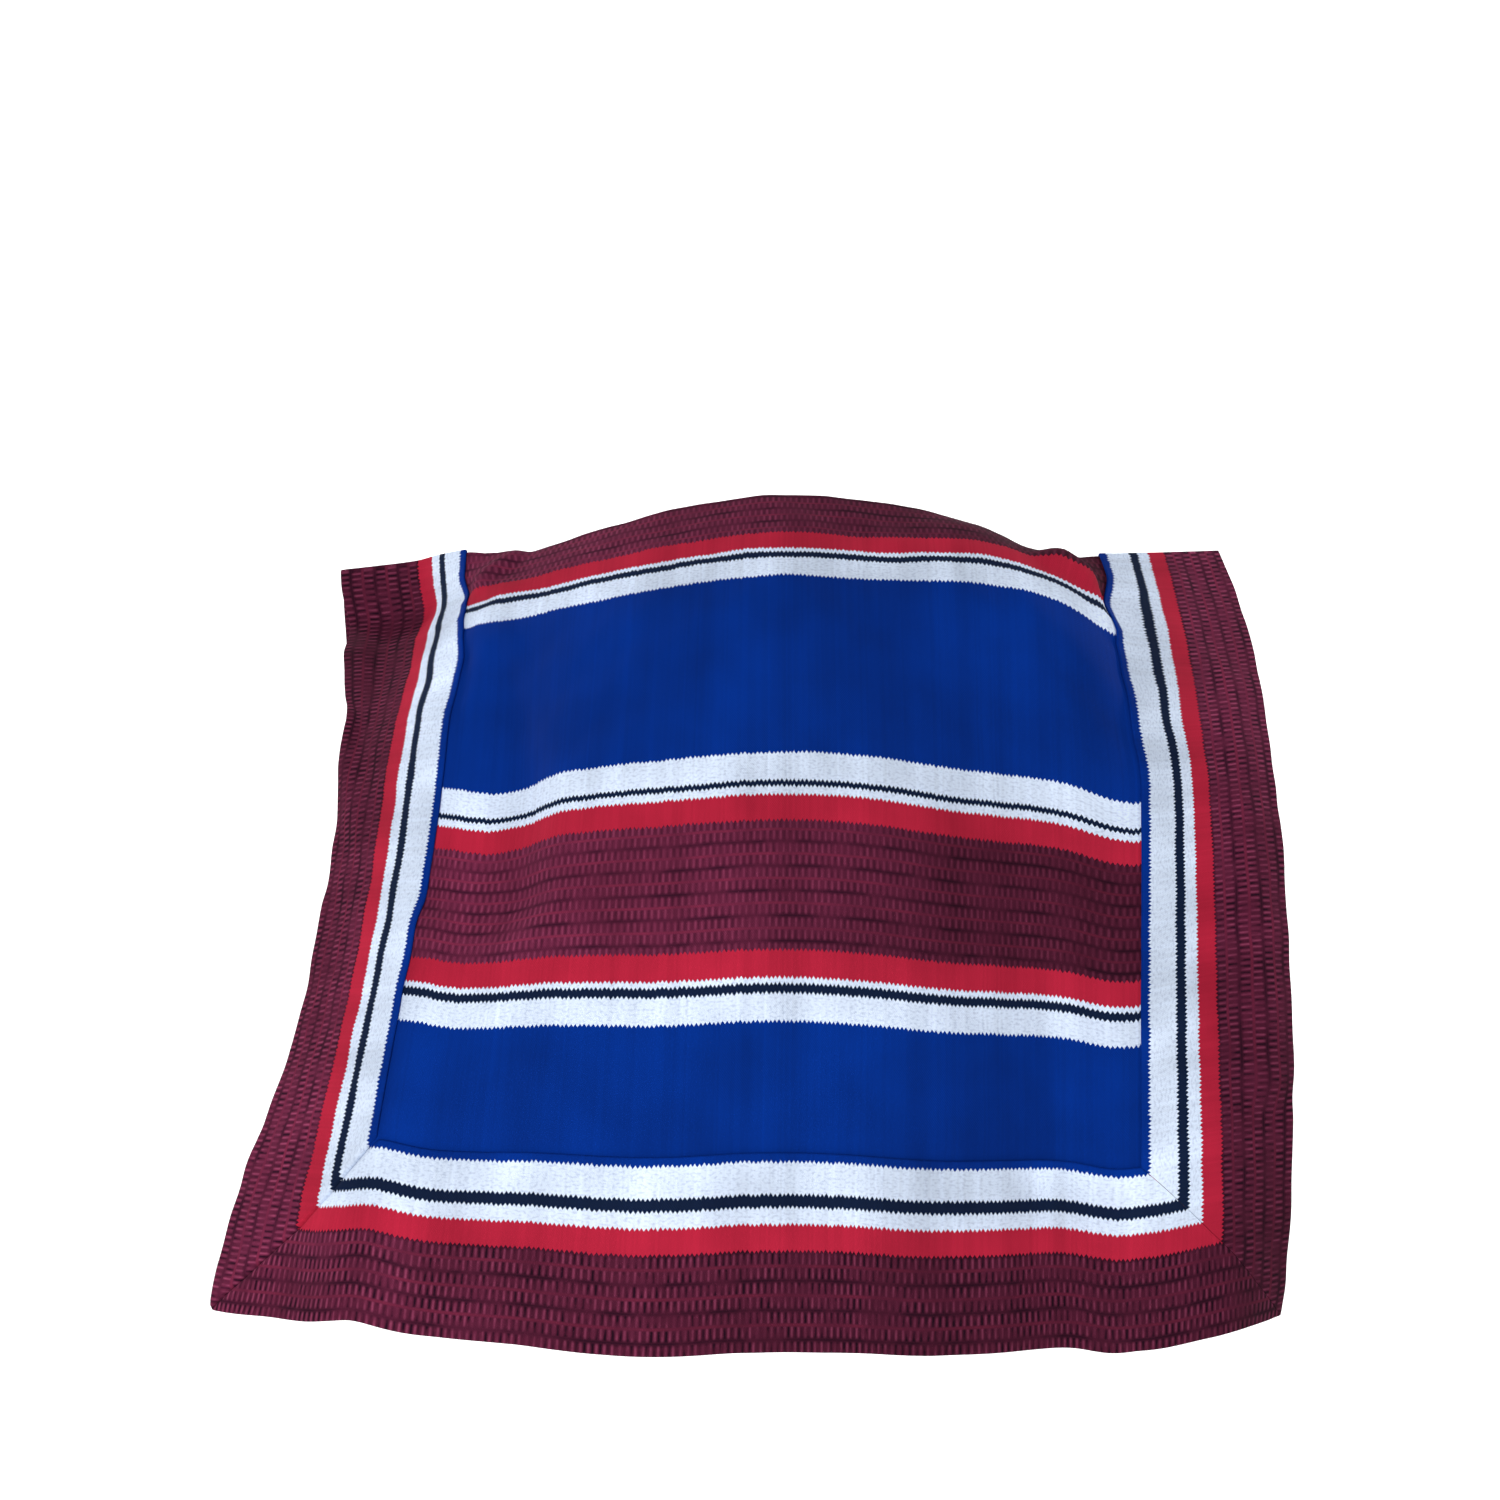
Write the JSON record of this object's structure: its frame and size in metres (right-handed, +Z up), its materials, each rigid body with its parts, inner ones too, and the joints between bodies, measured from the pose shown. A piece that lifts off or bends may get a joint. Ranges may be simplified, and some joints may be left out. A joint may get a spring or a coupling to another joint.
{
  "type": "poncho",
  "caption": "Worn cloth poncho: front and back panels with mitred striped borders, joined along the shoulders, with a wide boat neck, open sides and open hem.",
  "frame": {"origin": "between the wearer's shoulders, at the height of the inner ends of the shoulder seams, where the shoulders carry the cloth", "axes": "+Z up, the front faces -Y, +X is on the right of someone looking at the front"},
  "size_m": [0.7044, 0.3764, 0.5841],
  "materials": {
    "panel_cloth": "blue cotton weave with white, navy, red and wine stripes across",
    "border_cloth": "wine cotton weave with red, white and navy stripes along the inner edge, folded double"
  },
  "bodies": {
    "root": {"front_panel": "panel_cloth", "front_border_left": "border_cloth", "front_border_right": "border_cloth", "front_border_bottom": "border_cloth", "back_panel": "panel_cloth", "back_border_left": "border_cloth", "back_border_right": "border_cloth", "back_border_bottom": "border_cloth"}
  },
  "joints": []
}
